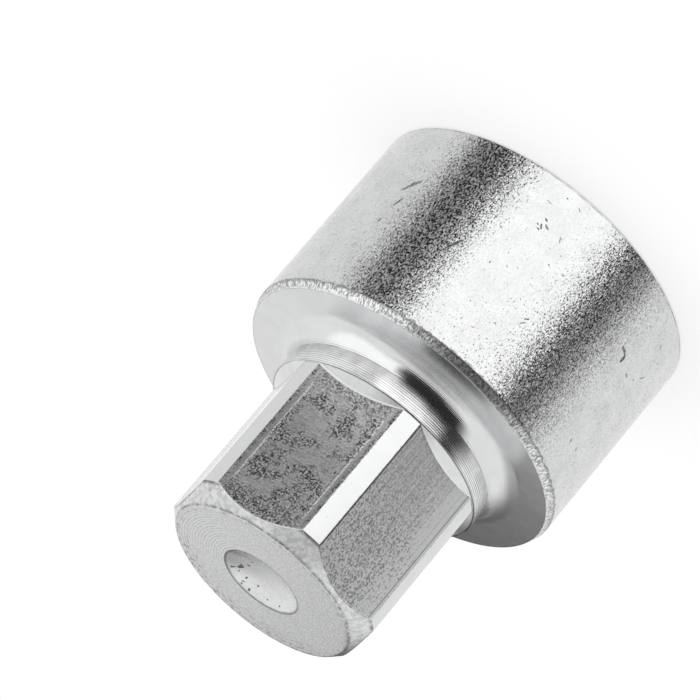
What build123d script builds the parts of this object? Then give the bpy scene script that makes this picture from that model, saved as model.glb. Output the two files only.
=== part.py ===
from build123d import *
import os
from math import acos, atan2, cos, degrees, radians, sin, tan

# Locking wheel nut key in millimetres. It stands on the open rim of its cup at z = 0,
# with the hexagon shank pointing up the Z axis.

# Hexagon shank
hex_sides = 6
hex_across_flats = 17.0
hex_corner_diameter = 18.75
hex_length = 14.3
flat_run_out_angle = 55.0

# Free end of the shank
end_face_diameter = 16.1
end_chamfer_length = 1.5
end_edge_round = 0.2
dimple_diameter = 6.85
dimple_depth = 0.7

# Collar and shoulder
collar_diameter = 19.0
collar_length = 1.75
shoulder_fillet_height = 1.5
shoulder_fillet_radius = 1.8
shoulder_edge_width = 0.3
shoulder_edge_height = 0.7

# Cup
cup_diameter = 28.3
cup_length = 17.75
cup_bore_diameter = 24.8
cup_bore_depth = 8.5
rim_outer_chamfer = 0.2
rim_inner_chamfer = 0.3
seat_cone_depth = 3.0

# Serrated edge of the insert and its seat
insert_diameter = 20.2
insert_thickness = 3.9
insert_recess = 0.2
serration_count = 30
serration_depth = 1.1
serration_width = 1.1
insert_clearance = 0.02

# Key ring, given by its centre line, and the pocket inside it
lobe_count = 5
ring_height = 3.0
ring_wall = 1.66
ring_lobe_radius = 6.22
ring_valley_radius = 5.09
lobe_bend_radius = 2.8
ring_edge_break = 0.12
pocket_depth = 1.5
boss_diameter = 6.1
boss_height = 1.0
centre_hole_diameter = 2.4
centre_hole_depth = 2.0

# Heights above the rim
crease_z = cup_length + shoulder_fillet_height
collar_front_z = crease_z + collar_length
end_face_z = collar_front_z + hex_length
seat_mouth_z = cup_bore_depth + seat_cone_depth
insert_face_z = seat_mouth_z + insert_recess
seat_floor_z = insert_face_z + insert_thickness
pocket_floor_z = insert_face_z + pocket_depth
boss_top_z = pocket_floor_z - boss_height

# The milled flats run out on a cone that starts at the corner cylinder
hex_corner_radius = hex_corner_diameter / 2
run_out_apex_z = collar_front_z + hex_corner_radius / tan(radians(flat_run_out_angle))

# The shoulder fillet is tangent to the shoulder face and meets the collar at a crease
fillet_sweep = degrees(acos(1 - shoulder_fillet_height / shoulder_fillet_radius))
fillet_foot_radius = collar_diameter / 2 + shoulder_fillet_radius * sin(radians(fillet_sweep))

# The dimple is a cap of a sphere
dimple_radius = dimple_diameter / 2
dimple_sphere_radius = (dimple_radius**2 + dimple_depth**2) / (2 * dimple_depth)

# The key ring's centre line is a loop of tangent arcs: one on each lobe and one in each valley
half_pitch = 180 / lobe_count
lobe_centre = ring_lobe_radius - lobe_bend_radius
half_pitch_cos = cos(radians(half_pitch))
valley_bend_radius = (
    lobe_centre**2
    + ring_valley_radius**2
    - 2 * lobe_centre * ring_valley_radius * half_pitch_cos
    - lobe_bend_radius**2
) / (2 * (lobe_bend_radius + lobe_centre * half_pitch_cos - ring_valley_radius))
valley_centre = ring_valley_radius + valley_bend_radius
lobe_half_sweep = degrees(
    atan2(
        valley_centre * sin(radians(half_pitch)),
        valley_centre * half_pitch_cos - lobe_centre,
    )
)
valley_half_sweep = lobe_half_sweep - half_pitch


def polar_point(radius, angle):
    return (radius * cos(radians(angle)), radius * sin(radians(angle)))


def lobed_outline(growth):
    """Face inside the key ring's centre line, with the line moved outward by growth."""
    with BuildLine() as loop:
        for lobe in range(lobe_count):
            lobe_angle = 2 * half_pitch * lobe
            CenterArc(
                polar_point(lobe_centre, lobe_angle),
                lobe_bend_radius + growth,
                lobe_angle - lobe_half_sweep,
                2 * lobe_half_sweep,
            )
            valley_angle = lobe_angle + half_pitch
            CenterArc(
                polar_point(valley_centre, valley_angle),
                valley_bend_radius - growth,
                valley_angle + 180 - valley_half_sweep,
                2 * valley_half_sweep,
            )
    make_face(loop.edges())


def serrated_outline(growth):
    """Disc with square notches round its edge, with every side moved outward by growth."""
    tip_radius = insert_diameter / 2 + growth
    root_radius = insert_diameter / 2 - serration_depth + growth
    notch_length = 2 * serration_depth
    notch_pitch = 2 * sin(radians(180 / serration_count)) * insert_diameter / 2
    notch_width = notch_pitch - serration_width - 2 * growth
    Circle(tip_radius)
    with PolarLocations(root_radius + notch_length / 2, serration_count):
        Rectangle(notch_length, notch_width, mode=Mode.SUBTRACT)


os.makedirs("parts", exist_ok=True)

# Drive body: cup, shoulder, collar and hexagon shank in one piece
with BuildPart() as drive_body:
    # Hexagon bar
    with BuildSketch(Plane.XY.offset(cup_length)):
        RegularPolygon(
            hex_across_flats / 2,
            hex_sides,
            major_radius=False,
            rotation=180 / hex_sides,
        )
    extrude(amount=end_face_z - cup_length)

    # Corners turned to a cylinder, with the end chamfered
    with BuildSketch(Plane.XZ):
        with BuildLine():
            Polyline(
                (0, cup_length),
                (hex_corner_radius, cup_length),
                (hex_corner_radius, end_face_z - end_chamfer_length),
                (end_face_diameter / 2, end_face_z),
                (0, end_face_z),
                close=True,
            )
        make_face()
        fillet(vertices().group_by(Axis.Y)[-1].sort_by(Axis.X)[-1], end_edge_round)
    revolve(axis=Axis.Z, mode=Mode.INTERSECT)

    # Cup, shoulder and collar, with the cone that the flats run out on
    with BuildSketch(Plane.XZ):
        with BuildLine():
            shoulder_fillet = JernArc(
                (fillet_foot_radius, cup_length),
                (-1, 0),
                shoulder_fillet_radius,
                -fillet_sweep,
            )
            Polyline(
                shoulder_fillet @ 1,
                (collar_diameter / 2, collar_front_z),
                (hex_corner_radius, collar_front_z),
                (0, run_out_apex_z),
                (0, 0),
                (cup_diameter / 2 - rim_outer_chamfer, 0),
                (cup_diameter / 2, rim_outer_chamfer),
                (cup_diameter / 2, cup_length - shoulder_edge_height),
                (cup_diameter / 2 - shoulder_edge_width, cup_length),
                shoulder_fillet @ 0,
            )
        make_face()
    revolve(axis=Axis.Z)

    # Bore of the cup, with the cone that leads down to the insert's seat
    with BuildSketch(Plane.XZ):
        with BuildLine():
            Polyline(
                (0, 0),
                (cup_bore_diameter / 2 + rim_inner_chamfer, 0),
                (cup_bore_diameter / 2, rim_inner_chamfer),
                (cup_bore_diameter / 2, cup_bore_depth),
                (insert_diameter / 2 + insert_clearance, seat_mouth_z),
                (0, seat_mouth_z),
                close=True,
            )
        make_face()
    revolve(axis=Axis.Z, mode=Mode.SUBTRACT)

    # Serrated seat of the insert
    with BuildSketch(Plane.XY.offset(seat_mouth_z)):
        serrated_outline(insert_clearance)
    extrude(amount=seat_floor_z - seat_mouth_z, mode=Mode.SUBTRACT)

    # Shallow round dimple in the end face
    with Locations((0, 0, end_face_z - dimple_depth + dimple_sphere_radius)):
        Sphere(dimple_sphere_radius, mode=Mode.SUBTRACT)

drive_body.part.label = "drive_body"
export_step(drive_body.part, "parts/drive_body.step")

# Key insert: serrated disc with the five-lobed key ring on its face
with BuildPart() as key_insert:
    # Serrated disc, seated on the floor of its pocket
    with BuildSketch(Plane.XY.offset(insert_face_z)):
        serrated_outline(0)
    extrude(amount=insert_thickness)

    # Key ring, standing out towards the mouth of the cup
    with BuildSketch(Plane.XY.offset(insert_face_z)):
        lobed_outline(ring_wall / 2)
    extrude(amount=-ring_height)

    # Inside of the ring, sunk below the insert's face
    with BuildSketch(Plane.XY.offset(insert_face_z - ring_height)):
        lobed_outline(-ring_wall / 2)
    extrude(amount=ring_height + pocket_depth, mode=Mode.SUBTRACT)

    # Broken edges round the end of the ring
    chamfer(edges().group_by(Axis.Z)[0], ring_edge_break)

    # Middle boss with its centre hole
    with BuildSketch(Plane.XY.offset(pocket_floor_z)):
        Circle(boss_diameter / 2)
    extrude(amount=-boss_height)
    with BuildSketch(Plane.XY.offset(boss_top_z)):
        Circle(centre_hole_diameter / 2)
    extrude(amount=centre_hole_depth, mode=Mode.SUBTRACT)

key_insert.part.label = "key_insert"
export_step(key_insert.part, "parts/key_insert.step")
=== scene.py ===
from math import atan2, cos, degrees, hypot, radians, sin, tau

import bpy
from mathutils import Matrix, Vector

# A locking wheel nut key that stands on the rim of its cup. The scene is in metres.
# Places and sizes on the key are in millimetres, angles in degrees, and heights of the finishes
# in micrometres.
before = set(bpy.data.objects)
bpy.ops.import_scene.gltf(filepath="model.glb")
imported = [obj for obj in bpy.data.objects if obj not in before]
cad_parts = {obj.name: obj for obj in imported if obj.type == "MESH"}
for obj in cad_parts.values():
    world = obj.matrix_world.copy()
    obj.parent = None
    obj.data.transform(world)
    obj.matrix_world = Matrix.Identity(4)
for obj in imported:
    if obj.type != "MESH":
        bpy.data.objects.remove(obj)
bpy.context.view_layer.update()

MM = 0.001
MICROMETRE = 1e-6

# Camera, in the key's own frame
CAMERA_TARGET = (6.260, -0.287, 16.213)
CAMERA_AZIMUTH = -86.605
CAMERA_ELEVATION = 24.587
CAMERA_ROLL = 139.552
CAMERA_DISTANCE = 410.066
CAMERA_LENS = 275.51
SENSOR_WIDTH = 36.0

# Heights on the drive body, from the rim up
RIM_TOP = 0.31
BORE_END = 8.5
SEAT_MOUTH = 11.5
SEAT_FLOOR = 15.6
BAND_START = 17.05
SHOULDER = 17.75
CREASE = 19.25
COLLAR_FRONT = 21.0
CHAMFER_START = 33.8
END_FACE = 35.3

# Radii on the drive body
CUP_RADIUS = 14.15
CUP_INSIDE = 12.75
SHOULDER_RADIUS = 13.85
COLLAR_RADIUS = 9.5
END_FACE_RADIUS = 8.05
DIMPLE_RADIUS = 3.425

# Hexagon
HEX_PITCH = 60
FLAT_DISTANCE = 8.5
HEX_CORNER_RADIUS = 9.375
FLAT_HALF_WIDTH = 3.955
CORNER_HALF_WIDTH = 0.825
ETCHED_FLAT = -60

# Key insert, from the mouth of the cup inward
RING_BREAK = 8.83
INSERT_FACE = 11.7
POCKET_RADIUS = 6.6

# Sorting of faces: slack on a height, least part of a normal along a direction that it faces, and
# greatest part along one that it is square to
SLACK = 0.01
ALONG = 0.9999
SQUARE = 0.01


# Node graphs

X_AXIS = (1, 0, 0)
Y_AXIS = (0, 1, 0)

# Rounding of sharp edges in the shading, and how many samples it takes
EDGE_ROUND = 0.11
EDGE_SAMPLES = 6

# Value that noise lies around
NOISE_MIDDLE = 0.5

# Sockets of a Mix node that serve for colours
MIX_FACTOR, MIX_LOW, MIX_HIGH = 0, 6, 7
MIX_RESULT = 2


class Graph:
    """Node tree of a material or a world, with short calls for what the finishes need."""

    def __init__(self, owner):
        owner.use_nodes = True
        self.owner = owner
        self.tree = owner.node_tree
        self.tree.nodes.clear()

    def feed(self, socket, value):
        """Links a socket to an input, or sets any other value on it."""
        if isinstance(value, bpy.types.NodeSocket):
            self.tree.links.new(value, socket)
        else:
            socket.default_value = value

    def node(self, kind, inputs=None, **settings):
        made = self.tree.nodes.new("ShaderNode" + kind)
        for name, value in settings.items():
            setattr(made, name, value)
        for key, value in (inputs or {}).items():
            self.feed(made.inputs[key], value)
        return made

    def math(self, operation, *values):
        return self.node("Math", dict(enumerate(values)), operation=operation).outputs[0]

    def times(self, value, factor):
        return self.math("MULTIPLY", value, factor)

    def total(self, first, *others):
        for other in others:
            first = self.math("ADD", first, other)
        return first

    def less(self, value, taken):
        return self.math("SUBTRACT", value, taken)

    def gap(self, value, other):
        return self.math("ABSOLUTE", self.less(value, other))

    def highest(self, first, *others):
        for other in others:
            first = self.math("MAXIMUM", first, other)
        return first

    def ramp(self, value, span, levels=(0.0, 1.0)):
        """Goes smoothly from one level to another while a value goes through a span."""
        names = ("From Min", "From Max", "To Min", "To Max")
        inputs = {"Value": value, **dict(zip(names, (*span, *levels)))}
        return self.node("MapRange", inputs, interpolation_type="SMOOTHSTEP").outputs["Result"]

    def line(self, value, centre, half_width):
        """1 where value is at centre, down to 0 at half_width from it."""
        return self.ramp(self.gap(value, centre), (half_width, 0))

    def colour(self, factor, low, high):
        """Colour that goes from low to high with a factor."""
        made = self.node("Mix", data_type="RGBA")
        for index, value in ((MIX_FACTOR, factor), (MIX_LOW, low), (MIX_HIGH, high)):
            self.feed(made.inputs[index], value)
        return made.outputs[MIX_RESULT]

    def place(self):
        """Place on the key in millimetres."""
        metres = self.node("TexCoord").outputs["Object"]
        return self.node("VectorMath", {0: metres, "Scale": 1 / MM}, operation="SCALE").outputs[0]

    def stretched(self, place, scale):
        return self.node("VectorMath", {0: place, 1: scale}, operation="MULTIPLY").outputs[0]

    def along(self, place, direction):
        """How far a place is along a direction."""
        made = self.node("VectorMath", {0: place, 1: direction}, operation="DOT_PRODUCT")
        return made.outputs["Value"]

    def length(self, vector):
        return self.node("VectorMath", {0: vector}, operation="LENGTH").outputs["Value"]

    def joined(self, *parts):
        return self.node("CombineXYZ", dict(enumerate(parts))).outputs[0]

    def polar(self, place):
        """Radius, angle in degrees and height of a place."""
        x, y, height = self.node("SeparateXYZ", {0: place}).outputs
        angle = self.math("DEGREES", self.math("ARCTAN2", y, x))
        return self.length(self.joined(x, y)), angle, height

    def arc(self, angle, radius):
        """Length that an angle has on a circle of a given radius."""
        return self.times(angle, radians(1) * radius)

    def noise(self, place, scale, detail=2.0, roughness=0.5, output="Fac"):
        """Noise around 0.5, with scale features to a millimetre."""
        inputs = {"Vector": place, "Scale": scale, "Detail": detail, "Roughness": roughness}
        return self.node("TexNoise", inputs).outputs[output]

    def patches(self, place, scale, span, levels=(0.0, 1.0), detail=2.0):
        """Noise that goes from one level to another where it goes through a span."""
        return self.ramp(self.noise(place, scale, detail), span, levels)

    def swing(self, place, scale, detail=2.0, roughness=0.5, reach=None):
        """Noise around 0, drawn out to a reach if one is given."""
        centred = self.less(self.noise(place, scale, detail, roughness), NOISE_MIDDLE)
        return self.times(centred, reach) if reach else centred

    def rings(self, along, pitch, reach=None):
        """Uneven grooves of a given pitch across one direction, around 0."""
        return self.swing(self.joined(along), 1 / pitch, reach=reach)

    def threads(self, along, pitch):
        """Even grooves of a given pitch across one direction, from -1 to 1."""
        return self.math("SINE", self.times(along, tau / pitch))

    def pits(self, place, scale, size, share):
        """1 in the middle of small round pits, which only a share of the cells have."""
        cell = self.node("TexVoronoi", {"Vector": place, "Scale": scale}).outputs
        chosen = self.math("LESS_THAN", self.along(cell["Color"], X_AXIS), share)
        return self.times(self.ramp(cell["Distance"], (size * scale, 0)), chosen)

    def worms(self, place, scale, width, share):
        """1 on thin curly lines, in patches."""
        curl = self.line(self.noise(place, scale, detail=1.0), NOISE_MIDDLE, width)
        limit = 0.75 - share
        patch = self.patches(place, scale / 2, (limit, limit + 0.05))
        return self.times(curl, patch)

    def knock(self, place, start, end, half_width):
        """1 in the middle of a long dent between two places."""
        run, rise = end[0] - start[0], end[1] - start[1]
        inputs = {
            "Vector": place,
            "Location": ((start[0] + end[0]) / 2, (start[1] + end[1]) / 2, 0),
            "Rotation": (0, 0, atan2(rise, run)),
            "Scale": (hypot(run, rise) / 2 + half_width, half_width, 1),
        }
        made = self.node("Mapping", inputs, vector_type="TEXTURE")
        return self.ramp(self.length(made.outputs[0]), (1, 0.2))

    def shake(self, place, scale, detail, reach):
        """Random vector around 0, drawn out to a reach along each axis."""
        noise = self.noise(place, scale, detail, output="Color")
        inputs = {0: noise, 1: (NOISE_MIDDLE,) * 3}
        centred = self.node("VectorMath", inputs, operation="SUBTRACT").outputs[0]
        return self.stretched(centred, reach)

    def ragged(self, place, reach):
        """A place shaken sideways, so that marks on it get ragged sides."""
        shift = self.shake(place, scale=3.0, detail=2.0, reach=(reach, reach, 0.0))
        return self.node("VectorMath", {0: place, 1: shift}).outputs[0]

    def softened(self, radius):
        """Normal with the edges rounded."""
        return self.node("Bevel", {"Radius": radius * MM}, samples=EDGE_SAMPLES).outputs[0]

    def worn_edge(self, radius):
        """1 on a sharp edge, down to 0 at radius from it."""
        facing = self.node("NewGeometry").outputs["Normal"]
        inputs = {0: self.softened(radius), 1: facing}
        kept = self.node("VectorMath", inputs, operation="DOT_PRODUCT").outputs["Value"]
        return self.ramp(kept, (0.998, 0.90))

    def tipped(self, place, scale, reach):
        """Normal with rounded edges, tipped at random from grain to grain."""
        tip = self.shake(place, scale, detail=1.0, reach=(reach, reach, reach))
        leaned = self.node("VectorMath", {0: self.softened(EDGE_ROUND), 1: tip}).outputs[0]
        return self.node("VectorMath", {0: leaned}, operation="NORMALIZE").outputs[0]

    def metal(self, height, colour, roughness, edge=EDGE_ROUND, normal=None):
        """Closes a metal with its bump on a normal or on rounded edges, and gives the material."""
        base = normal or self.softened(edge)
        bump_inputs = {"Height": height, "Normal": base, "Distance": MICROMETRE}
        inputs = {
            "Base Color": colour,
            "Metallic": 1.0,
            "Roughness": roughness,
            "Normal": self.node("Bump", bump_inputs).outputs[0],
        }
        shader = self.node("BsdfPrincipled", inputs)
        self.node("OutputMaterial", {"Surface": shader.outputs[0]})
        return self.owner


def graph_of(name):
    """Graph of a new material."""
    return Graph(bpy.data.materials.new(name))


# Share of red, green and blue in a neutral metal, a touch cool
METAL_TINT = (0.995, 1.0, 1.006)


def grey(level):
    """Neutral metal colour."""
    return (*(level * share for share in METAL_TINT), 1.0)


# Finishes of the drive body

ZINC_DULL = grey(0.70)
ZINC = grey(0.735)
ZINC_BRIGHT = grey(0.76)
# Dark colour for dirt, specks and knocks, and for painted shade in the collar's crease and at its
# front edge.
ZINC_DIRT_AND_SHADE = grey(0.16)
SOOT = grey(0.08)

# Pitch of the turning grooves
SHOULDER_PITCH = 0.19
COLLAR_PITCH = 0.18
END_PITCH = 0.25

# Cup wall: blasted grains to a millimetre, and angle of the middle of its smoothest part
BLAST_SCALE = 9.5
POLISHED_SIDE = -86

# Sectors of the cup wall: first and last angle, depth of the specks in micrometres, and the
# knocks, each with angle and height of both ends, half width, and depth in micrometres
CUP_SECTORS = {
    "cup_left": (-50, 0, 17, (
        (-34.8, 7.0, -36.5, 6.4, 0.17, 36),
        (-36.5, 6.4, -39.3, 5.7, 0.26, 50),
        (-36.6, 8.7, -38.2, 7.5, 0.12, 26),
        (-35.5, 10.5, -36.7, 9.9, 0.11, 24),
        (-8.0, 10.2, -10.5, 9.7, 0.06, 16),
        (-23.4, 14.5, -23.1, 13.9, 0.06, 16),
    )),
    "cup_front": (-84, -50, 5, (
        (-62.0, 10.6, -65.5, 8.9, 0.15, 70),
        (-80.9, 3.63, -81.7, 3.68, 0.10, 32),
        (-80.9, 4.15, -81.6, 4.54, 0.10, 34),
        (-82.0, 3.98, -83.5, 4.20, 0.12, 40),
        (-79.6, 4.29, -80.2, 4.33, 0.08, 26),
        (-80.7, 4.60, -81.2, 4.63, 0.08, 26),
        (-77.5, 2.24, -79.6, 2.34, 0.06, 22),
        (-80.8, 8.69, -81.5, 8.76, 0.07, 20),
        (-71.2, 6.23, -72.1, 6.39, 0.07, 22),
        (-76.3, 9.38, -76.4, 9.23, 0.07, 24),
        (-81.7, 1.15, -82.2, 1.14, 0.07, 20),
    )),
    "cup_middle": (-110, -84, 5, (
        (-89.0, 4.57, -87.5, 3.84, 0.06, 18),
        (-90.4, 6.37, -90.9, 6.45, 0.07, 20),
        (-89.2, 13.05, -89.6, 13.04, 0.08, 24),
        (-86.3, 1.14, -87.7, 1.36, 0.06, 18),
        (-95.3, 11.67, -96.6, 11.13, 0.06, 24),
    )),
    "cup_right": (-180, -110, 15, (
        (-127.4, 5.80, -130.9, 6.00, 0.18, 42),
        (-130.9, 6.00, -131.0, 6.68, 0.18, 42),
        (-136.4, 6.61, -138.9, 6.63, 0.11, 26),
        (-141.0, 6.30, -143.1, 5.91, 0.08, 20),
        (-144.4, 5.50, -146.7, 4.78, 0.11, 26),
        (-147.1, 3.31, -147.6, 3.11, 0.09, 26),
        (-142.6, 2.79, -141.9, 2.16, 0.07, 20),
        (-123.9, 15.3, -124.0, 13.6, 0.05, 14),
        (-126.6, 15.0, -126.9, 13.1, 0.05, 12),
        (-122.4, 16.0, -122.4, 14.8, 0.05, 14),
        (-136.5, 13.8, -136.8, 14.0, 0.13, 28),
        (-141.6, 13.6, -141.9, 13.8, 0.11, 26),
    )),
    "cup_back": (0, 180, 15, (
        (18.0, 9.2, 22.5, 7.8, 0.08, 24),
        (38.0, 13.2, 39.0, 13.6, 0.08, 22),
        (64.0, 3.2, 64.8, 4.4, 0.10, 28),
        (71.5, 10.4, 74.0, 10.1, 0.06, 20),
        (97.0, 13.1, 101.0, 12.2, 0.07, 22),
        (118.0, 4.6, 118.6, 5.1, 0.08, 24),
        (148.0, 6.0, 148.6, 6.5, 0.12, 30),
        (163.0, 11.5, 165.2, 12.4, 0.06, 20),
    )),
}


def wall_place(graph, angle, height):
    """Place on the unrolled cup wall."""
    return graph.joined(graph.arc(angle, CUP_RADIUS), height)


def knocked(graph, wall, knocks):
    """Depth of some knocks at a place on the unrolled wall."""
    place = graph.ragged(wall, reach=0.25)
    depth = 0.0
    for first_angle, first_height, last_angle, last_height, half_width, dent in knocks:
        start = (radians(first_angle) * CUP_RADIUS, first_height)
        end = (radians(last_angle) * CUP_RADIUS, last_height)
        mask = graph.knock(place, start, end, half_width)
        depth = graph.math("MULTIPLY_ADD", mask, dent, depth)
    return depth


def blasted_zinc(sector, speck_depth, knocks):
    """Cup wall: zinc on a blasted skin, with specks, scuffs and knocks, and a ragged top edge."""
    graph = graph_of("blasted_zinc_" + sector)
    place = graph.place()
    _, angle, height = graph.polar(place)
    drawn = graph.stretched(place, (1, 1, 0.6))
    grain = graph.swing(drawn, BLAST_SCALE, detail=1.0, reach=8)
    facets = graph.tipped(drawn, BLAST_SCALE, reach=0.55)
    peel = graph.swing(place, 1.4, reach=18)
    streaks = graph.swing(graph.stretched(place, (6.0, 6.0, 0.4)), 1.0)
    worn = graph.patches(place, 0.22, (0.48, 0.62), (1, 8))
    scuffed = graph.times(worn, graph.ramp(height, (9.0, 15.0), (1.0, 2.0)))
    pits = graph.pits(drawn, scale=1.5, size=0.09, share=0.20)
    specks = graph.pits(graph.stretched(place, (1, 1, 0.55)), scale=2.6, size=0.085, share=0.45)
    dents = knocked(graph, wall_place(graph, angle, height), knocks)
    sunk = graph.total(dents, graph.times(pits, 16), graph.times(specks, speck_depth))
    raised = graph.total(grain, peel, graph.times(streaks, scuffed))
    mottle = graph.total(graph.swing(place, 0.5, detail=3.0), graph.swing(drawn, 6.0))
    clean = graph.colour(graph.ramp(mottle, (-0.32, 0.32)), grey(0.68), grey(0.78))
    uneven = graph.swing(place, 2.0, detail=3.0, roughness=0.6, reach=0.7)
    ragged = graph.total(height, uneven)
    top = graph.ramp(ragged, (BAND_START - 0.14, BAND_START - 0.04), (0.0, 0.7))
    broken = graph.patches(place, 0.8, (0.40, 0.60), (0.1, 0.6), detail=3.0)
    rim = graph.times(graph.line(height, RIM_TOP - 0.05, 0.10), broken)
    from_polished = graph.gap(angle, POLISHED_SIDE)
    scratched = graph.ramp(from_polished, (35, 50), (0.0, 0.34))
    scratches = graph.times(graph.worms(drawn, scale=1.8, width=0.024, share=0.24), scratched)
    edges = graph.highest(top, rim, scratches)
    dirt = graph.highest(graph.ramp(sunk, (3, 20), (0.0, 0.8)), edges)
    colour = graph.colour(dirt, clean, ZINC_DIRT_AND_SHADE)
    matte = graph.ramp(from_polished, (9, 26), (0.08, 0.32))
    frosted = graph.patches(drawn, 8.3, (0.36, 0.64), detail=1.0)
    roughness = graph.math("MULTIPLY_ADD", frosted, matte, 0.09)
    return graph.metal(graph.less(raised, sunk), colour, roughness, normal=facets)


def rough_band():
    """Broken edge of the shoulder: coarse grain with dents, and its lip painted bright in patches
    as a highlight.
    """
    graph = graph_of("rough_band")
    place = graph.place()
    _, _, height = graph.polar(place)
    chatter = graph.stretched(place, (1, 1, 0.3))
    grain = graph.swing(chatter, 8.0, reach=30)
    dents = graph.times(graph.patches(place, 0.9, (0.55, 0.75)), 30)
    tone = graph.patches(chatter, 7.0, (0.40, 0.60))
    dull = graph.colour(tone, grey(0.36), grey(0.92))
    # The lip towards the shoulder is painted bright in patches, as a painted highlight of the edge.
    painted_highlight_lip = graph.ramp(height, (SHOULDER - 0.22, SHOULDER - 0.06))
    rubbed = graph.times(painted_highlight_lip, graph.patches(place, 2.5, (0.35, 0.60)))
    uneven = graph.swing(place, 2.0, reach=0.4)
    ragged = graph.total(height, uneven)
    foot = graph.ramp(ragged, (BAND_START + 0.22, BAND_START + 0.04), (0.0, 0.5))
    colour = graph.colour(foot, graph.colour(rubbed, dull, ZINC_BRIGHT), ZINC_DIRT_AND_SHADE)
    return graph.metal(graph.less(grain, dents), colour, roughness=0.40, edge=0.16)


def smooth_shoulder():
    """Shoulder face and fillet: finely turned, with specks and a dark line at the rim."""
    graph = graph_of("smooth_shoulder")
    place = graph.place()
    radius, _, height = graph.polar(place)
    across = graph.less(radius, height)
    strength = graph.ramp(radius, (COLLAR_RADIUS + 0.2, COLLAR_RADIUS + 1.6), (9.0, 0.7))
    drift = graph.rings(across, pitch=0.6, reach=0.25)
    even = graph.threads(graph.total(across, drift), SHOULDER_PITCH)
    turning = graph.total(graph.rings(across, pitch=0.20), graph.times(even, 0.20))
    rings = graph.times(turning, strength)
    wave = graph.swing(place, 0.8, detail=1.0, reach=6)
    specks = graph.pits(place, scale=1.1, size=0.08, share=0.16)
    edge = graph.line(radius, SHOULDER_RADIUS, 0.13)
    surface = graph.less(graph.total(rings, wave), graph.times(specks, 14))
    mottle = graph.patches(place, 0.6, (0.3, 0.7), detail=3.0)
    clean = graph.colour(mottle, ZINC_DULL, ZINC)
    broken = graph.patches(place, 2.2, (0.35, 0.65), (0.05, 0.60))
    dirt = graph.highest(graph.times(edge, broken), graph.times(specks, 0.7))
    uneven = graph.swing(place, 1.5, reach=0.06)
    matte = graph.ramp(radius, (COLLAR_RADIUS + 0.4, COLLAR_RADIUS + 1.6), (0.15, 0.25))
    roughness = graph.total(matte, uneven)
    return graph.metal(surface, graph.colour(dirt, clean, ZINC_DIRT_AND_SHADE), roughness)


def grooved_collar():
    """Collar: fine turning grooves, deeper towards the hexagon, between two dark lines of painted
    shade at the crease and the front edge.
    """
    graph = graph_of("grooved_collar")
    place = graph.place()
    _, angle, height = graph.polar(place)
    drift = graph.swing(place, 0.25, detail=1.0, reach=0.10)
    uneven = graph.rings(height, pitch=0.5, reach=0.25)
    groove = graph.threads(graph.total(height, drift, uneven), COLLAR_PITCH)
    patchy = graph.patches(place, 0.35, (0.35, 0.65), (0.6, 1.0))
    depth = graph.times(graph.ramp(height, (CREASE + 0.1, COLLAR_FRONT - 0.5), (0.5, 2.4)), patchy)
    fine = graph.swing(place, 5.0, reach=2.0)
    from_crease = graph.less(CREASE + 1.2, height)
    sweep = graph.math("POWER", graph.highest(from_crease, 0.0), 2.0)
    surface = graph.total(graph.math("MULTIPLY_ADD", groove, depth, fine), graph.times(sweep, 70))
    shown = graph.ramp(height, (CREASE + 0.2, COLLAR_FRONT - 0.6), (0.2, 0.8))
    lift = graph.ramp(height, (CREASE + 0.2, COLLAR_FRONT - 0.2), (-0.3, 0.5))
    mottle = graph.swing(place, 0.9, detail=3.0, reach=2.0)
    shine = graph.total(graph.times(groove, shown), mottle, lift)
    clean = graph.colour(graph.ramp(shine, (-1.0, 1.2)), grey(0.50), grey(0.95))
    broken = graph.patches(place, 0.7, (0.40, 0.60), (0.2, 0.8))
    # Dark lines of painted shade in the crease and along the front edge, the front one strongest at
    # angles near -75.
    crease = graph.times(graph.line(height, CREASE, 0.13), broken)
    fading = graph.ramp(angle, (-75, -35), (0.8, 0.3))
    front = graph.times(graph.line(height, COLLAR_FRONT, 0.10), fading)
    colour = graph.colour(graph.highest(crease, front), clean, ZINC_DIRT_AND_SHADE)
    return graph.metal(surface, colour, roughness=0.20)


# Heights on the flats between which their marks change
FLAT_FOOT = 23.0
FLAT_HEAD = 30.0


def flat_turn(graph, angle):
    """Angle from the middle of a hexagon flat, in radians."""
    return graph.math("RADIANS", graph.math("WRAP", angle, HEX_PITCH / 2, -HEX_PITCH / 2))


def flat_across(graph, angle):
    """Distance from the middle of a hexagon flat."""
    return graph.times(graph.math("TANGENT", flat_turn(graph, angle)), FLAT_DISTANCE)


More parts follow.
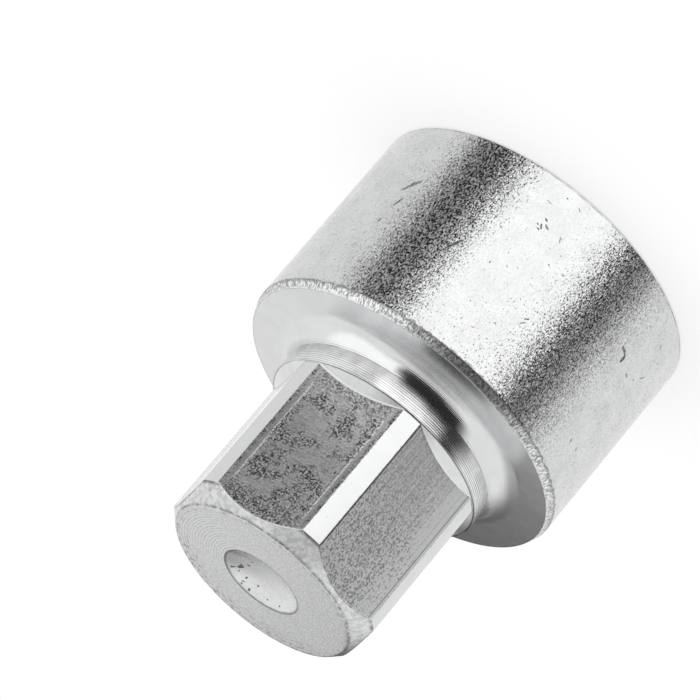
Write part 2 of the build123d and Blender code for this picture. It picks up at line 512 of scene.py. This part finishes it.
def milled_flat():
    """Hexagon flats: crumbled milling marks, with long lines along the key on one side."""
    graph = graph_of("milled_flat")
    place = graph.place()
    _, angle, height = graph.polar(place)
    across = flat_across(graph, angle)
    lines = graph.swing(graph.stretched(place, (10, 10, 0.04)), 1.0, detail=1.0)
    crumbs = graph.swing(graph.stretched(place, (1, 1, 0.8)), 6.5, detail=3.0, roughness=0.6)
    side = graph.ramp(across, (-1.0, -FLAT_HALF_WIDTH + 0.3))
    patchy = graph.patches(place, 0.30, (0.35, 0.65), (0.62, 0.80))
    coarse = graph.times(graph.ramp(height, (FLAT_FOOT, FLAT_HEAD), (0.45, 1.7)), patchy)
    strength = graph.total(graph.times(side, 0.42), 0.22)
    texture = graph.math("MULTIPLY_ADD", lines, strength, graph.times(crumbs, coarse))
    specks = graph.pits(place, scale=1.4, size=0.08, share=0.18)
    surface = graph.less(graph.times(texture, 5), graph.times(specks, 10))
    tone = graph.ramp(graph.total(texture, graph.times(side, 0.16)), (-0.16, 0.10))
    clean = graph.colour(tone, grey(0.36), grey(0.98))
    scribed = graph.times(graph.line(across, -FLAT_HALF_WIDTH + 0.30, 0.10), 0.55)
    near_collar = graph.ramp(height, (FLAT_FOOT + 4, FLAT_FOOT), (0.0, 0.45))
    second = graph.times(graph.line(across, FLAT_HALF_WIDTH - 0.42, 0.08), near_collar)
    corner = graph.times(graph.line(across, FLAT_HALF_WIDTH - 0.06, 0.16), 0.95)
    dirt = graph.highest(scribed, second, corner, graph.times(specks, 0.6))
    return graph.metal(surface, graph.colour(dirt, clean, SOOT), roughness=0.27, edge=0.08)


# Etched panel on one flat, from its middle line and along the key
PANEL_HALF_WIDTH = 3.3
PANEL_START = 22.6
PANEL_END = 32.9

# Cones that cut the flats off: where they would meet the key's axis, and their rise to a millimetre
RUN_OUT_TIP = 27.5645
RUN_OUT_RISE = -0.7002
CHAMFER_TIP = 44.4134
CHAMFER_RISE = -1.1321


def flat_lip(graph, radius, height):
    """1 along the two curved ends of a flat, where a painted highlight goes."""
    run_out = graph.math("MULTIPLY_ADD", radius, RUN_OUT_RISE, RUN_OUT_TIP)
    chamfer = graph.math("MULTIPLY_ADD", radius, CHAMFER_RISE, CHAMFER_TIP)
    return graph.highest(graph.line(height, run_out, 0.16), graph.line(height, chamfer, 0.20))


def etched_flat():
    """The flat with a bare etched panel: mottled dark skin inside a thin bright frame, and painted
    highlights along its two curved ends.
    """
    graph = graph_of("etched_flat")
    place = graph.place()
    radius, angle, height = graph.polar(place)
    across = flat_across(graph, angle)
    side = graph.math("ABSOLUTE", across)
    etch = graph.swing(place, 6.5, detail=1.0)
    scored = graph.swing(graph.stretched(place, (1.0, 1.0, 8.0)), 1.0)
    clouds = graph.ramp(graph.noise(place, 0.6, detail=4.0, roughness=0.65), (0.46, 0.58))
    margin = graph.ramp(side, (PANEL_HALF_WIDTH, PANEL_HALF_WIDTH + 0.12))
    torn = graph.patches(place, 1.6, (0.38, 0.60), (0.3, 1.0))
    rim = graph.times(graph.ramp(side, (FLAT_HALF_WIDTH - 0.45, FLAT_HALF_WIDTH - 0.20)), torn)
    ends = graph.highest(
        graph.ramp(height, (PANEL_START + 0.5, PANEL_START - 0.3)),
        graph.ramp(height, (PANEL_END - 0.5, PANEL_END + 0.3)),
    )
    dark = graph.less(graph.highest(clouds, graph.times(ends, 0.7)), margin)
    # The two curved ends are cleared of the etch and painted bright, as painted highlights of their
    # edges.
    painted_highlight_lip = flat_lip(graph, radius, height)
    rough = graph.less(graph.highest(dark, rim), painted_highlight_lip)
    open_side = graph.less(1.0, ends)
    outer_line = graph.line(side, PANEL_HALF_WIDTH, 0.12)
    light_line = graph.times(outer_line, graph.ramp(etch, (-0.22, 0.04)))
    inner_line = graph.line(side, PANEL_HALF_WIDTH - 0.20, 0.12)
    dark_line = graph.times(inner_line, graph.ramp(etch, (0.15, -0.10)))
    skin = graph.times(etch, graph.ramp(rough, (0, 1), (4, 24)))
    near_collar = graph.ramp(height, (FLAT_FOOT + 3, FLAT_FOOT - 1), (5, 12))
    edging = graph.times(graph.less(light_line, dark_line), graph.times(open_side, 8))
    surface = graph.total(skin, graph.times(scored, near_collar), edging)
    speckle = graph.ramp(etch, (-0.14, 0.14), (1.0, 0.05))
    tint = graph.ramp(graph.total(scored, etch), (-0.3, 0.3))
    bare = graph.colour(graph.times(margin, 0.5), grey(0.68), grey(0.46))
    plain = graph.colour(tint, grey(0.42), bare)
    # Worn holds the bright frame line, which is real, and the painted highlight along the curved
    # ends.
    worn = graph.highest(graph.times(light_line, open_side), painted_highlight_lip)
    shade = graph.highest(graph.times(rough, speckle), graph.times(dark_line, 0.6))
    etched = graph.colour(shade, plain, SOOT)
    colour = graph.colour(graph.times(worn, 0.8), etched, grey(0.92))
    return graph.metal(surface, colour, roughness=0.36, edge=0.16)


def bright_corner():
    """Turned corners of the hexagon: smooth, with a few specks and faint rings."""
    graph = graph_of("bright_corner")
    place = graph.place()
    _, angle, height = graph.polar(place)
    rings = graph.rings(height, pitch=0.2, reach=0.8)
    specks = graph.pits(place, scale=1.0, size=0.07, share=0.18)
    surface = graph.less(rings, graph.times(specks, 10))
    mottle = graph.patches(place, 0.8, (0.3, 0.7), detail=3.0)
    clean = graph.colour(mottle, ZINC, ZINC_BRIGHT)
    turned = graph.gap(graph.math("WRAP", angle, HEX_PITCH, 0.0), HEX_PITCH / 2)
    aside = graph.arc(turned, HEX_CORNER_RADIUS)
    uneven = graph.swing(place, 5.0, reach=0.4)
    shaken = graph.total(aside, uneven)
    edge = graph.ramp(shaken, (CORNER_HALF_WIDTH - 0.08, CORNER_HALF_WIDTH + 0.08), (0.0, 0.5))
    dirt = graph.highest(edge, graph.times(specks, 0.6))
    return graph.metal(surface, graph.colour(dirt, clean, ZINC_DIRT_AND_SHADE), roughness=0.15)


def run_out_facet():
    """Facets where the cutter ran out: finely curved tool marks."""
    graph = graph_of("run_out_facet")
    place = graph.place()
    radius, _, height = graph.polar(place)
    marks = graph.rings(graph.total(radius, height), pitch=0.12, reach=1.5)
    fine = graph.swing(place, 5.0, reach=3)
    mottle = graph.patches(place, 1.0, (0.3, 0.7), detail=3.0)
    colour = graph.colour(mottle, ZINC_DULL, ZINC_BRIGHT)
    return graph.metal(graph.total(marks, fine), colour, roughness=0.2, edge=0.16)


def rough_chamfer():
    """Chamfer of the free end: rough, with dark burrs at the flats and a broken edge line."""
    graph = graph_of("rough_chamfer")
    place = graph.place()
    radius, angle, _ = graph.polar(place)
    grain = graph.swing(place, 4.0, detail=3.0, roughness=0.6, reach=12)
    chips = graph.patches(place, 3.2, (0.64, 0.74))
    surface = graph.less(grain, graph.times(chips, 14))
    tone = graph.patches(place, 2.5, (0.35, 0.65), detail=3.0)
    clean = graph.colour(tone, grey(0.55), grey(0.73))
    broken = graph.patches(place, 2.4, (0.35, 0.60), (0.25, 0.85))
    edge = graph.times(graph.line(radius, END_FACE_RADIUS + 0.08, 0.14), broken)
    reach = graph.times(radius, graph.math("COSINE", flat_turn(graph, angle)))
    from_etched = graph.gap(angle, ETCHED_FLAT)
    plain = graph.ramp(from_etched, (HEX_PITCH / 2 - 4, HEX_PITCH / 2))
    burr = graph.times(graph.ramp(reach, (FLAT_DISTANCE - 0.14, FLAT_DISTANCE - 0.03)), broken)
    ridge = graph.ramp(radius, (HEX_CORNER_RADIUS - 0.24, HEX_CORNER_RADIUS - 0.06))
    corner = graph.times(ridge, broken)
    dirt = graph.highest(edge, graph.times(burr, plain), corner, graph.times(chips, 0.5))
    return graph.metal(surface, graph.colour(dirt, clean, ZINC_DIRT_AND_SHADE), roughness=0.24, edge=0.16)


def turned_end():
    """End face: fine rings round the dimple, their depth and tone painted stronger on two sides as
    a sheen, with specks and a scuffed rim.
    """
    graph = graph_of("turned_end")
    place = graph.place()
    radius, angle, _ = graph.polar(place)
    # Ring depth and ring tone grow on the two sides along X, and more on the +X side: a painted
    # sheen of the turned rings.
    facing = graph.math("ABSOLUTE", graph.math("COSINE", graph.math("RADIANS", angle)))
    left = graph.ramp(graph.along(place, X_AXIS), (-5.0, 3.0), (0.3, 1.0))
    shown = graph.times(graph.ramp(facing, (0.45, 1.0), (0.25, 1.0)), left)
    patchy = graph.patches(place, 0.3, (0.30, 0.60), (0.4, 1.0))
    uneven = graph.rings(radius, pitch=0.6, reach=0.25)
    turning = graph.threads(graph.total(radius, uneven), END_PITCH)
    groove = graph.times(turning, graph.times(shown, patchy))
    fine = graph.swing(place, 6.0)
    specks = graph.pits(place, scale=1.2, size=0.09, share=0.20)
    raised = graph.math("MULTIPLY_ADD", groove, 1.6, graph.times(fine, 9))
    surface = graph.less(raised, graph.times(specks, 12))
    shine = graph.math("MULTIPLY_ADD", groove, 0.16, fine)
    clean = graph.colour(graph.ramp(shine, (-0.25, 0.25)), grey(0.58), grey(0.84))
    rim = graph.line(radius, DIMPLE_RADIUS, 0.14)
    outer = graph.ramp(radius, (END_FACE_RADIUS - 0.8, END_FACE_RADIUS - 0.15))
    chipped = graph.times(outer, graph.patches(place, 3.0, (0.52, 0.68)))
    rubbed = graph.ramp(radius, (END_FACE_RADIUS - 2.4, END_FACE_RADIUS - 0.6))
    rubbed = graph.times(rubbed, graph.ramp(graph.along(place, Y_AXIS), (1.0, 5.0)))
    around = graph.arc(angle, END_FACE_RADIUS * 1.6)
    unrolled = graph.joined(around, graph.times(radius, 4.5))
    scuffs = graph.times(rubbed, graph.patches(unrolled, 1.0, (0.52, 0.62), detail=3.0))
    marred = graph.times(graph.highest(chipped, scuffs), 0.65)
    dirt = graph.highest(graph.times(rim, 0.8), marred, graph.times(specks, 0.5))
    return graph.metal(surface, graph.colour(dirt, clean, ZINC_DIRT_AND_SHADE), roughness=0.21)


# Pits in the dimple: place of both ends and half width
DIMPLE_PITS = (
    (2.37, 2.00, 2.10, 1.80, 0.15),
    (1.92, 1.62, 1.70, 1.10, 0.24),
    (1.96, 0.90, 1.70, 1.45, 0.15),
    (1.47, 0.52, 1.44, 0.45, 0.19),
    (1.57, -0.17, 1.45, -0.64, 0.07),
    (1.71, 1.95, 1.68, 2.00, 0.10),
    (0.90, 2.33, 0.90, 2.11, 0.11),
    (0.91, 2.74, 0.81, 2.72, 0.11),
    (0.87, 3.00, 0.84, 3.02, 0.11),
    (-0.18, 2.10, -0.20, 2.06, 0.11),
    (0.09, 3.14, 0.10, 2.95, 0.13),
    (-1.41, 2.40, -1.44, 2.38, 0.10),
    (-2.36, 1.66, -2.38, 1.62, 0.10),
)


def pressed_dimple():
    """Dimple: smooth, with dark pits and a dark rim."""
    graph = graph_of("pressed_dimple")
    place = graph.place()
    radius, _, _ = graph.polar(place)
    wave = graph.swing(place, 1.2, reach=12)
    shaken = graph.ragged(graph.stretched(place, (1, 1, 0)), reach=0.30)
    pits = 0.0
    for first_x, first_y, last_x, last_y, half_width in DIMPLE_PITS:
        mask = graph.knock(shaken, (first_x, first_y), (last_x, last_y), half_width)
        pits = graph.highest(mask, pits)
    pits = graph.ramp(pits, (0, 0.6))
    surface = graph.less(wave, graph.times(pits, 30))
    uneven = graph.swing(place, 2.5, reach=0.16)
    rim = graph.ramp(graph.total(radius, uneven), (DIMPLE_RADIUS - 0.22, DIMPLE_RADIUS - 0.02))
    dirt = graph.highest(graph.times(rim, 0.85), pits)
    mottle = graph.total(graph.swing(place, 1.0, detail=3.0), graph.swing(place, 6.0, detail=1.0))
    clean = graph.colour(graph.ramp(mottle, (-0.35, 0.35)), grey(0.66), ZINC_BRIGHT)
    return graph.metal(surface, graph.colour(dirt, clean, ZINC_DIRT_AND_SHADE), roughness=0.22)


def turned_inside(name, low, high, pitch, depth, roughness):
    """Turned surface inside the cup, with grooves of its own pitch and depth."""
    graph = graph_of(name)
    place = graph.place()
    radius, _, height = graph.polar(place)
    across = graph.less(radius, height)
    even = graph.threads(graph.total(across, graph.rings(across, pitch=0.8, reach=0.3)), pitch)
    uneven = graph.rings(across, pitch, reach=depth)
    grooves = graph.total(uneven, graph.times(even, depth / 6))
    fine = graph.swing(place, 4.0, detail=3.0, reach=8)
    tone = graph.total(graph.rings(across, pitch * 1.7), graph.times(even, 0.10))
    stain = graph.swing(place, 0.5, detail=3.0)
    mottle = graph.ramp(graph.total(tone, stain), (-0.3, 0.3))
    colour = graph.colour(mottle, low, high)
    return graph.metal(graph.total(grooves, fine), colour, roughness)


def sheared_seat():
    """Seat of the insert: metal smeared over by the pressing, dark with a few bright tears."""
    graph = graph_of("sheared_seat")
    place = graph.place()
    skin = graph.swing(place, 3.5, detail=4.0, roughness=0.6, reach=30)
    clear = graph.patches(place, 0.22, (0.52, 0.62))
    mottle = graph.patches(place, 1.6, (0.35, 0.65), detail=3.0)
    smeared = graph.colour(mottle, grey(0.035), grey(0.11))
    torn = graph.colour(mottle, grey(0.22), grey(0.48))
    return graph.metal(skin, graph.colour(clear, smeared, torn), roughness=0.42)


# The bore wall is coloured darker than the rim and the cone: painted shade inside the cup.
BORE_PAINTED_SHADE_DARK = (0.36, 0.37, 0.35, 1.0)
BORE_PAINTED_SHADE_PALE = (0.54, 0.55, 0.52, 1.0)

DRIVE_FINISHES = {
    "band": rough_band(),
    "shoulder": smooth_shoulder(),
    "collar": grooved_collar(),
    "flat": milled_flat(),
    "etched": etched_flat(),
    "corner": bright_corner(),
    "facet": run_out_facet(),
    "chamfer": rough_chamfer(),
    "end": turned_end(),
    "dimple": pressed_dimple(),
    "rim": turned_inside(
        "turned_rim", grey(0.50), grey(0.72), pitch=0.22, depth=14, roughness=0.24
    ),
    "bore": turned_inside(
        "turned_bore", BORE_PAINTED_SHADE_DARK, BORE_PAINTED_SHADE_PALE, pitch=0.30, depth=5, roughness=0.30
    ),
    "cone": turned_inside(
        "turned_cone", grey(0.46), grey(0.80), pitch=0.28, depth=16, roughness=0.24
    ),
    "seat": sheared_seat(),
}
for cup_sector, (_, _, speck_depth, sector_knocks) in CUP_SECTORS.items():
    DRIVE_FINISHES[cup_sector] = blasted_zinc(cup_sector, speck_depth, sector_knocks)


def inner_zone(centre, facing):
    """Finish of a face inside the cup."""
    if centre.z < BORE_END and abs(facing.z) < SQUARE:
        return "bore"
    if centre.z < SEAT_MOUTH and abs(facing.z) < ALONG:
        return "cone"
    return "seat"


def cup_zone(centre):
    """Finish of a face of the cup wall."""
    angle = degrees(atan2(centre.y, centre.x))
    sectors = CUP_SECTORS.items()
    return next(name for name, (first, last, _, _) in sectors if first <= angle <= last)


def hexagon_zone(facing):
    """Finish of an upright face of the hexagon."""
    for azimuth in range(-180, 180, HEX_PITCH):
        across = cos(radians(azimuth)) * facing.x + sin(radians(azimuth)) * facing.y
        if across > ALONG:
            return "etched" if azimuth == ETCHED_FLAT else "flat"
    return "corner"


def drive_zone(centre, facing):
    """Finish of a face of the drive body."""
    radius = hypot(centre.x, centre.y)
    if centre.z < RIM_TOP:
        return "rim"
    if centre.z < SEAT_FLOOR + SLACK and radius < CUP_INSIDE:
        return inner_zone(centre, facing)
    if centre.z < BAND_START - SLACK:
        return cup_zone(centre)
    if centre.z < SHOULDER and facing.z < ALONG:
        return "band"
    if centre.z < CREASE - SLACK:
        return "shoulder"
    if centre.z < COLLAR_FRONT + SLACK:
        return "collar"
    if abs(facing.z) < SQUARE:
        return hexagon_zone(facing)
    if centre.z < CHAMFER_START - SLACK:
        return "facet"
    if radius < DIMPLE_RADIUS and centre.z < END_FACE - SLACK:
        return "dimple"
    return "end" if facing.z > ALONG else "chamfer"


# Finishes of the key insert


def dark_skin(name, dark, light, worn, roughness, lift, spread):
    """Heat-treated skin: dark and uneven, rubbed bright along its edges."""
    graph = graph_of(name)
    place = graph.place()
    skin = graph.swing(place, 3.5, detail=4.0, roughness=0.6, reach=lift)
    burrs = graph.worms(place, scale=0.9, width=0.012, share=0.28)
    surface = graph.total(skin, graph.times(burrs, lift / 2))
    mottle = graph.patches(place, 1.1, (0.32, 0.68), detail=4.0)
    broken = graph.patches(place, 2.0, (0.3, 0.6))
    edge = graph.times(graph.worn_edge(spread), broken)
    bright = graph.highest(edge, graph.times(burrs, 0.35))
    colour = graph.colour(bright, graph.colour(mottle, dark, light), worn)
    uneven = graph.patches(place, 2.2, (0.3, 0.7), (roughness - 0.06, roughness + 0.08), detail=3.0)
    return graph.metal(surface, colour, uneven)


BROWN_BLACK = (0.030, 0.025, 0.021, 1.0)
BROWN = (0.105, 0.085, 0.068, 1.0)
BLUE_BLACK = (0.022, 0.023, 0.029, 1.0)
BLUE_GREY = (0.070, 0.072, 0.085, 1.0)
DULL_GREY = (0.080, 0.072, 0.058, 1.0)
PALE_GREY = (0.165, 0.150, 0.122, 1.0)
RUBBED_STEEL = (0.560, 0.540, 0.500, 1.0)

INSERT_FINISHES = {
    "skin": dark_skin(
        "brown_skin", BROWN_BLACK, BROWN, RUBBED_STEEL, roughness=0.44, lift=40, spread=0.10
    ),
    "ring": dark_skin(
        "dull_ring", DULL_GREY, PALE_GREY, RUBBED_STEEL, roughness=0.40, lift=16, spread=0.14
    ),
    "pocket": dark_skin(
        "blue_pocket", BLUE_BLACK, BLUE_GREY, PALE_GREY, roughness=0.38, lift=24, spread=0.10
    ),
}


def insert_zone(centre, facing):
    """Finish of a face of the key insert."""
    radius = hypot(centre.x, centre.y)
    if centre.z < RING_BREAK:
        return "ring"
    outward = centre.x * facing.x + centre.y * facing.y
    if radius < POCKET_RADIUS and (centre.z > INSERT_FACE + SLACK or outward < 0):
        return "pocket"
    return "skin"


def dress(node, finishes, zone_of):
    """Gives each face of a node the finish of its zone."""
    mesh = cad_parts[node].data
    mesh.materials.clear()
    slots = {}
    for zone, material in finishes.items():
        slots[zone] = len(mesh.materials)
        mesh.materials.append(material)
    for face in mesh.polygons:
        face.material_index = slots[zone_of(face.center / MM, face.normal)]


dress("drive_body", DRIVE_FINISHES, drive_zone)
dress("key_insert", INSERT_FINISHES, insert_zone)


# Studio, in metres

WHITE = (1.0, 1.0, 1.0, 1.0)
WORLD_LIGHT = 0.85
FLOOR_RADIUS = 3.0
FLOOR_SIDES = 128
FLOOR_COLOUR = (0.8, 0.8, 0.8, 1.0)
FLOOR_GLOW = 0.68
LAMP_HEIGHT = 0.6
LAMP_SIZE = 0.5
LAMP_ENERGY = 2.0
CARD_STEPS = 24
DOME_RADIUS = 0.30
CLIP_START = 0.01
CLIP_END = 20.0


def light_world():
    """White wherever it is seen or mirrored, and dimmer as a light."""
    world = bpy.data.worlds.new("studio")
    bpy.context.scene.world = world
    graph = Graph(world)
    rays = graph.node("LightPath").outputs
    kinds = ("Is Camera Ray", "Is Glossy Ray", "Is Transmission Ray")
    seen = graph.highest(*(rays[kind] for kind in kinds))
    strength = graph.ramp(seen, (0, 1), (WORLD_LIGHT, 1.0))
    background = graph.node("Background", {"Color": WHITE, "Strength": strength})
    graph.node("OutputWorld", {"Surface": background.outputs[0]})


def make_floor():
    """Pale floor that is clear from below. Mirrors look past it at the white world."""
    bpy.ops.mesh.primitive_circle_add(vertices=FLOOR_SIDES, radius=FLOOR_RADIUS, fill_type="NGON")
    floor = bpy.context.object
    floor.name = "floor"
    graph = graph_of("pale_floor")
    diffuse = graph.node("BsdfDiffuse", {"Color": FLOOR_COLOUR}).outputs[0]
    glow = graph.node("Emission", {"Color": WHITE, "Strength": 1.0}).outputs[0]
    camera_ray = graph.node("LightPath").outputs["Is Camera Ray"]
    share = graph.times(camera_ray, FLOOR_GLOW)
    pale = graph.node("MixShader", {0: share, 1: diffuse, 2: glow}).outputs[0]
    clear = graph.node("BsdfTransparent").outputs[0]
    below = graph.node("NewGeometry").outputs["Backfacing"]
    mixed = graph.node("MixShader", {0: below, 1: pale, 2: clear})
    graph.node("OutputMaterial", {"Surface": mixed.outputs[0]})
    floor.data.materials.append(graph.owner)
    floor.visible_glossy = False


def card_material(name, level):
    """Even glow, clear where the card has no cover."""
    graph = graph_of(name)
    cover = graph.node("Attribute", attribute_name="cover").outputs["Fac"]
    clear = graph.node("BsdfTransparent").outputs[0]
    glow = graph.node("Emission", {"Color": WHITE, "Strength": level}).outputs[0]
    mixed = graph.node("MixShader", {0: cover, 1: clear, 2: glow})
    graph.node("OutputMaterial", {"Surface": mixed.outputs[0]})
    return graph.owner


def eased(share):
    """Smooth step from 0 to 1."""
    share = min(max(share, 0.0), 1.0)
    return share * share * (3 - 2 * share)


def border_cover(value, span, feather):
    """Cover of a card at one value: whole inside, and eased to nothing over its soft borders."""
    cover = 1.0
    if feather[0]:
        cover *= eased((value - span[0]) / feather[0])
    if feather[1]:
        cover *= eased((span[1] - value) / feather[1])
    return cover


def make_card(name, level, spans, feathers, place_of):
    """Soft-edged card over a grid of two spans, which only mirrors see."""
    points = []
    cover = []
    faces = []
    row_length = CARD_STEPS + 1
    for row in range(row_length):
        for column in range(row_length):
            shares = (column / CARD_STEPS, row / CARD_STEPS)
            values = [low + share * (high - low) for (low, high), share in zip(spans, shares)]
            points.append(place_of(*values))
            first, second = map(border_cover, values, spans, feathers)
            cover.append(first * second)
    for row in range(CARD_STEPS):
        for column in range(CARD_STEPS):
            corner = row * row_length + column
            above = corner + row_length
            faces.append((corner, corner + 1, above + 1, above))
    mesh = bpy.data.meshes.new(name)
    mesh.from_pydata(points, [], faces)
    mesh.attributes.new("cover", "FLOAT", "POINT").data.foreach_set("value", cover)
    mesh.materials.append(card_material(name, level))
    card = bpy.data.objects.new(name, mesh)
    bpy.context.scene.collection.objects.link(card)
    card.visible_camera = False
    card.visible_diffuse = False
    card.visible_shadow = False
    card.visible_transmission = False


def dome_point(radius):
    """Maps a turn from the camera's side and an elevation to a point on a dome."""

    def place_of(turn, elevation):
        azimuth = radians(CAMERA_AZIMUTH + turn)
        level = radius * cos(radians(elevation))
        return (level * cos(azimuth), level * sin(azimuth), radius * sin(radians(elevation)))

    return place_of


def upright_point(turn, distance):
    """Maps a place across and a height to a point on an upright plane that faces the key."""
    facing = radians(CAMERA_AZIMUTH + turn)

    def place_of(across, height):
        x = distance * cos(facing) - across * sin(facing)
        y = distance * sin(facing) + across * cos(facing)
        return (x * MM, y * MM, height * MM)

    return place_of


# Cards on domes: level, spans of turn and elevation in degrees, soft borders of both, and share of
# the dome's radius
DOME_CARDS = {
    "front_glow": (1.30, ((-42, 46), (-80, 0)), ((8, 10), (0, 2)), 1.04),
    "left_flag": (0.02, ((38, 88), (-80, -5)), ((9, 12), (0, 8)), 1.00),
    "right_flag": (0.02, ((-86, -33), (-80, 0)), ((34, 9), (0, 3)), 1.00),
    "left_wall": (0.87, ((84, 160), (-80, 0)), ((10, 20), (0, 3)), 1.08),
    "right_wall": (0.94, ((-160, -80), (-80, 0)), ((20, 10), (0, 3)), 1.08),
    "front_flag": (0.03, ((-62, 24.5), (-11, 52)), ((20, 5), (5, 14)), 1.00),
    "collar_flag": (0.03, ((-56, -6), (-15, 2)), ((8, 9), (5, 2)), 0.98),
    "upper_flag": (0.03, ((-44, 31), (8, 78)), ((26, 5), (14, 30)), 1.02),
    "left_softbox": (1.32, ((22, 112), (-2, 75)), ((12, 14), (2, 25)), 1.06),
    "back_card": (0.40, ((-200, -125), (-2, 55)), ((45, 30), (0, 20)), 1.00),
    "top_card": (0.45, ((-180, 180), (66, 90)), ((0, 0), (20, 0)), 1.12),
}

# Cards close to the key: level, turn in degrees, and in millimetres the distance, the spans across
# and up, and the soft borders of both
CLOSE_CARDS = {
    "shoulder_flag": (0.12, 180, 45, ((1, 42), (16, 47)), ((6, 24), (4, 4))),
    "shoulder_glow": (0.95, 180, 45, ((-70, -1), (16, 47)), ((10, 6), (4, 4))),
    "front_card": (0.70, 0, 30, ((-30, 30), (46, 85)), ((6, 6), (2, 6))),
    "collar_shade": (0.03, -36, 18, ((-1.5, 7.5), (16.7, 17.9)), ((1.5, 3), (0.2, 0.3))),
    "collar_card": (0.88, 65, 18, ((-14, 9), (14.8, 18.8)), ((2, 2), (0.4, 0.4))),
    "left_card": (0.95, 90, 30, ((-34, 34), (45, 85)), ((6, 6), (3, 6))),
}


def make_cards():
    """Sets up all cards of the studio."""
    for name, (level, spans, feathers, share) in DOME_CARDS.items():
        make_card(name, level, spans, feathers, dome_point(DOME_RADIUS * share))
    for name, (level, turn, distance, spans, feathers) in CLOSE_CARDS.items():
        make_card(name, level, spans, feathers, upright_point(turn, distance))


def light_lamp():
    """Large overhead lamp, which only lights."""
    lamp = bpy.data.lights.new("overhead", "AREA")
    lamp.shape = "DISK"
    lamp.size = LAMP_SIZE
    lamp.energy = LAMP_ENERGY
    holder = bpy.data.objects.new("overhead", lamp)
    holder.location = (0.0, 0.0, LAMP_HEIGHT)
    holder.visible_glossy = False
    bpy.context.scene.collection.objects.link(holder)


def make_camera():
    """Camera at the photograph's viewing angle."""
    data = bpy.data.cameras.new("camera")
    data.sensor_width = SENSOR_WIDTH
    data.lens = CAMERA_LENS
    data.clip_start = CLIP_START
    data.clip_end = CLIP_END
    camera = bpy.data.objects.new("camera", data)
    azimuth, elevation = radians(CAMERA_AZIMUTH), radians(CAMERA_ELEVATION)
    level = cos(elevation)
    back = Vector((cos(azimuth) * level, sin(azimuth) * level, sin(elevation)))
    right = Vector((0, 0, 1)).cross(back).normalized()
    up = back.cross(right)
    roll = radians(CAMERA_ROLL)
    turned_right = right * cos(roll) - up * sin(roll)
    turned_up = right * sin(roll) + up * cos(roll)
    place = (Vector(CAMERA_TARGET) + back * CAMERA_DISTANCE) * MM
    axes = Matrix((turned_right, turned_up, back)).transposed()
    camera.matrix_world = Matrix.Translation(place) @ axes.to_4x4()
    bpy.context.scene.collection.objects.link(camera)
    bpy.context.scene.camera = camera


light_world()
make_floor()
make_cards()
light_lamp()
make_camera()
bpy.context.scene.view_settings.view_transform = "Standard"
